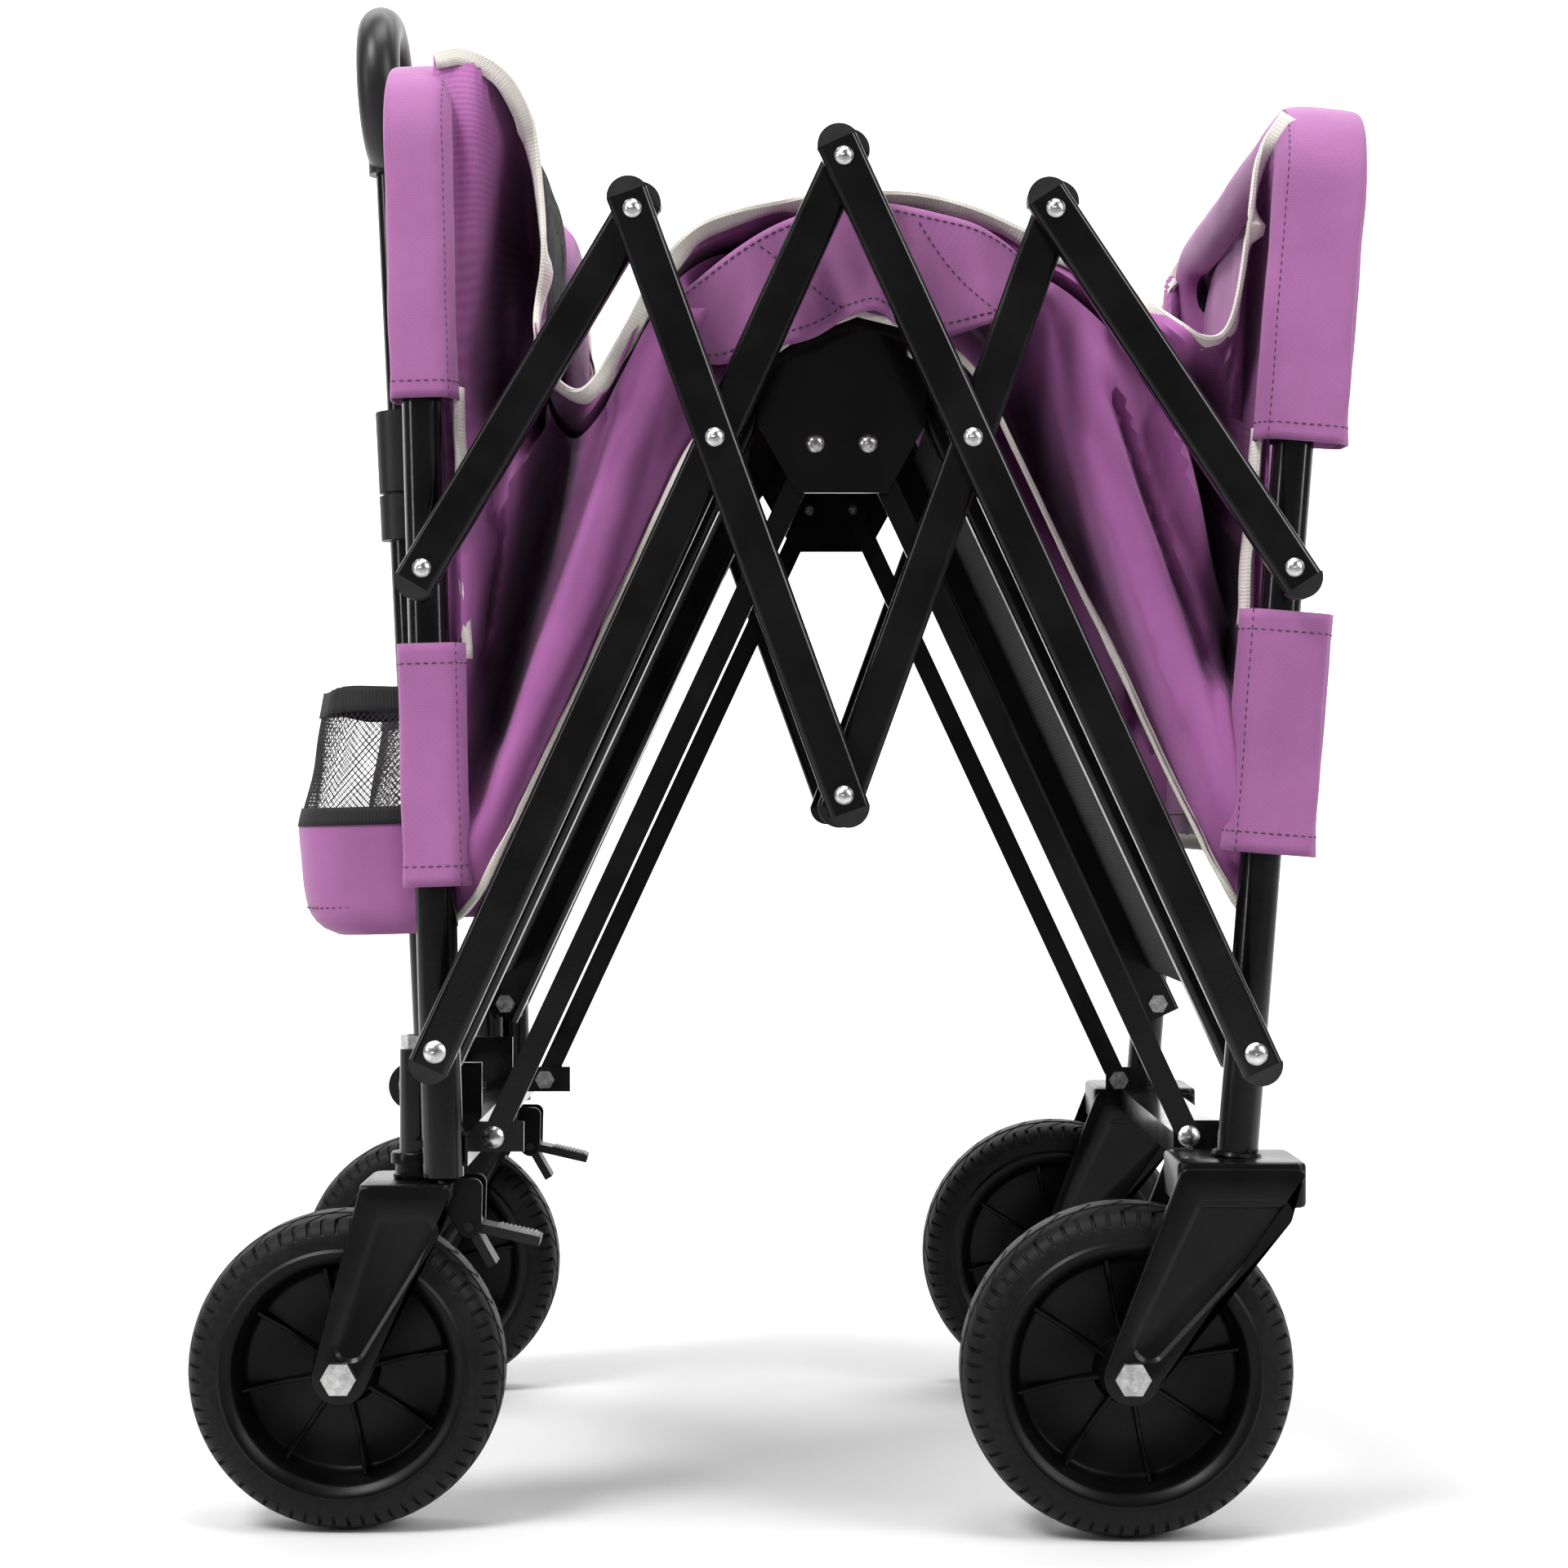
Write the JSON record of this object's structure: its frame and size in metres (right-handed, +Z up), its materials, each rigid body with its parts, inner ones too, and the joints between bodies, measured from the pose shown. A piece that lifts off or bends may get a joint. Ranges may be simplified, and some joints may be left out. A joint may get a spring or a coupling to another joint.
{
  "type": "folding wagon",
  "caption": "Folding fabric wagon with scissor frame, swivel casters, fixed rear wheels and a telescopic pull handle.",
  "frame": {"origin": "centre of the bounding box on the floor, wagon half folded as stored", "axes": "+Z up; -X towards the pull handle and casters; -Y is the wagon's left side"},
  "size_m": [0.6341, 0.5236, 0.8752],
  "materials": {
    "black_steel": "satin",
    "black_plastic": "matte",
    "zinc_steel": "satin",
    "tyre_rubber": "matte",
    "floor_board": "matte",
    "purple_cloth": "matte",
    "pocket_cloth": "matte"
  },
  "bodies": {
    "front_frame": {"front_frame_tube": "black_steel", "front_cross_member": "black_steel", "handle_brackets": "black_steel", "handle_pivot_rod": "zinc_steel", "caster_sockets": "black_steel", "front_frame_bolts": "zinc_steel", "front_cover": "purple_cloth", "front_pockets": "pocket_cloth", "side_cloth_left": "purple_cloth", "side_cloth_right": "purple_cloth"},
    "long_bars_front": {"front_long_bars": "black_steel", "front_long_bar_caps": "black_plastic"},
    "long_bars_rear": {"rear_long_bars": "black_steel", "rear_long_bar_caps": "black_plastic", "rear_long_bar_rivets": "zinc_steel"},
    "cross_bars_front": {"front_cross_bars": "black_steel", "front_cross_bar_caps": "black_plastic", "front_cross_bar_rivets": "zinc_steel"},
    "cross_bars_rear": {"rear_cross_bars": "black_steel", "rear_cross_bar_caps": "black_plastic"},
    "links_front": {"front_links": "black_steel", "front_link_caps": "black_plastic", "front_link_screws": "zinc_steel"},
    "links_rear": {"rear_links": "black_steel", "rear_link_caps": "black_plastic", "rear_link_rivets": "zinc_steel"},
    "rear_frame": {"rear_frame_tube": "black_steel", "rear_cross_member": "black_steel", "rear_fork_left": "black_steel", "rear_fork_right": "black_steel", "rear_axles": "zinc_steel", "rear_frame_bolts": "zinc_steel", "rear_cover": "purple_cloth"},
    "floor_front": {"floor_rails_front": "black_steel", "floor_board_front": "floor_board"},
    "hub": {"hub_plates": "black_steel", "hub_rivets": "zinc_steel"},
    "floor_rear": {"floor_rails_rear": "black_steel", "floor_board_rear": "floor_board"},
    "straps_front": {"floor_straps_front": "black_steel"},
    "straps_rear": {"floor_straps_rear": "black_steel"},
    "caster_left": {"caster_fork_left": "black_steel", "caster_fasteners_left": "zinc_steel"},
    "caster_right": {"caster_fork_right": "black_steel", "caster_fasteners_right": "zinc_steel"},
    "front_wheel_left": {"front_rim_left": "black_plastic", "front_tyre_left": "tyre_rubber"},
    "front_wheel_right": {"front_rim_right": "black_plastic", "front_tyre_right": "tyre_rubber"},
    "rear_wheel_left": {"rear_rim_left": "black_plastic", "rear_tyre_left": "tyre_rubber"},
    "rear_wheel_right": {"rear_rim_right": "black_plastic", "rear_tyre_right": "tyre_rubber"},
    "pedal_left": {"brake_pedal_left": "black_plastic"},
    "pedal_right": {"brake_pedal_right": "black_plastic"},
    "pull_handle": {"handle_lower_tube": "black_steel", "handle_collar": "black_plastic"},
    "handle_extension": {"handle_upper_tube": "black_steel", "handle_grip": "black_plastic"}
  },
  "joints": [
    {"name": "fold", "type": "hinge", "parent": "front_frame", "child": "long_bars_front", "pos_m": [-0.17985, 0, 0.2595], "axis": [0, -1, 0], "range_deg": [-36, 9], "deforming": ["side_cloth_left", "side_cloth_right"]},
    {"name": "fold_apex", "type": "hinge", "parent": "long_bars_front", "child": "long_bars_rear", "pos_m": [0.0362, 0, 0.73139], "axis": [0, -1, 0], "range_deg": [-18.01, 72.01]},
    {"name": "fold_cross_front", "type": "hinge", "parent": "long_bars_front", "child": "cross_bars_front", "pos_m": [-0.03165, 0, 0.58319], "axis": [0, -1, 0], "range_deg": [-15.49, 61.93]},
    {"name": "fold_cross_rear", "type": "hinge", "parent": "long_bars_rear", "child": "cross_bars_rear", "pos_m": [0.10405, 0, 0.58319], "axis": [0, -1, 0], "range_deg": [-61.93, 15.49]},
    {"name": "fold_link_front", "type": "hinge", "parent": "cross_bars_front", "child": "links_front", "pos_m": [-0.07508, 0, 0.7036], "axis": [0, -1, 0], "range_deg": [-81.01, 20.26]},
    {"name": "fold_link_rear", "type": "hinge", "parent": "cross_bars_rear", "child": "links_rear", "pos_m": [0.14748, 0, 0.7036], "axis": [0, -1, 0], "range_deg": [-19.63, 78.49]},
    {"name": "fold_rear_frame", "type": "hinge", "parent": "long_bars_rear", "child": "rear_frame", "pos_m": [0.25225, 0, 0.2595], "axis": [0, -1, 0], "range_deg": [-32.41, 8.11]},
    {"name": "fold_floor_front", "type": "hinge", "parent": "front_frame", "child": "floor_front", "pos_m": [-0.17985, 0, 0.2595], "axis": [0, -1, 0], "range_deg": [-56.17, 14.05]},
    {"name": "fold_hub", "type": "hinge", "parent": "floor_front", "child": "hub", "pos_m": [-0.0038, 0, 0.63862], "axis": [0, -1, 0], "range_deg": [-14.05, 56.17]},
    {"name": "fold_straps_front", "type": "hinge", "parent": "front_frame", "child": "straps_front", "pos_m": [-0.15435, 0, 0.2085], "axis": [0, -1, 0], "range_deg": [-56.17, 14.05]},
    {"name": "fold_floor_rear", "type": "hinge", "parent": "rear_frame", "child": "floor_rear", "pos_m": [0.25225, 0, 0.2595], "axis": [0, -1, 0], "range_deg": [-13.15, 52.57]},
    {"name": "fold_straps_rear", "type": "hinge", "parent": "rear_frame", "child": "straps_rear", "pos_m": [0.22675, 0, 0.2085], "axis": [0, -1, 0], "range_deg": [-13.15, 52.57]},
    {"name": "caster_swivel_left", "type": "hinge", "parent": "front_frame", "child": "caster_left", "pos_m": [-0.1938, -0.2, 0.2], "axis": [0, 0, 1], "continuous": true},
    {"name": "caster_swivel_right", "type": "hinge", "parent": "front_frame", "child": "caster_right", "pos_m": [-0.1938, 0.2, 0.2], "axis": [0, 0, 1], "continuous": true},
    {"name": "front_wheel_spin_left", "type": "hinge", "parent": "caster_left", "child": "front_wheel_left", "pos_m": [-0.2315, -0.2, 0.0855], "axis": [0, 1, 0], "continuous": true},
    {"name": "front_wheel_spin_right", "type": "hinge", "parent": "caster_right", "child": "front_wheel_right", "pos_m": [-0.2315, 0.2, 0.0855], "axis": [0, 1, 0], "continuous": true},
    {"name": "rear_wheel_spin_left", "type": "hinge", "parent": "rear_frame", "child": "rear_wheel_left", "pos_m": [0.1876, -0.22, 0.089], "axis": [0, 1, 0], "continuous": true},
    {"name": "rear_wheel_spin_right", "type": "hinge", "parent": "rear_frame", "child": "rear_wheel_right", "pos_m": [0.1876, 0.22, 0.089], "axis": [0, 1, 0], "continuous": true},
    {"name": "brake_pedal_left", "type": "hinge", "parent": "caster_left", "child": "pedal_left", "pos_m": [-0.1648, -0.2, 0.163], "axis": [0, -1, 0], "range_deg": [-18, 0]},
    {"name": "brake_pedal_right", "type": "hinge", "parent": "caster_right", "child": "pedal_right", "pos_m": [-0.1648, 0.2, 0.163], "axis": [0, -1, 0], "range_deg": [-18, 0]},
    {"name": "handle_tilt", "type": "hinge", "parent": "front_frame", "child": "pull_handle", "pos_m": [-0.2083, 0, 0.23], "axis": [0, -1, 0], "range_deg": [0, 100]},
    {"name": "handle_slide", "type": "slide", "parent": "pull_handle", "child": "handle_extension", "axis": [-0.0489, 0, 0.9988], "range_m": [0, 0.22]}
  ],
  "couplings": [
    {"joint": "fold_apex", "follows": "fold", "ratio": -2},
    {"joint": "fold_cross_front", "follows": "fold", "ratio": -1.72},
    {"joint": "fold_cross_rear", "follows": "fold", "ratio": 1.72},
    {"joint": "fold_link_front", "follows": "fold", "ratio": 2.25},
    {"joint": "fold_link_rear", "follows": "fold", "ratio": -2.18},
    {"joint": "fold_rear_frame", "follows": "fold", "ratio": 0.9},
    {"joint": "fold_floor_front", "follows": "fold", "ratio": 1.56},
    {"joint": "fold_hub", "follows": "fold", "ratio": -1.56},
    {"joint": "fold_straps_front", "follows": "fold", "ratio": 1.56},
    {"joint": "fold_floor_rear", "follows": "fold", "ratio": -1.46},
    {"joint": "fold_straps_rear", "follows": "fold", "ratio": -1.46}
  ]
}
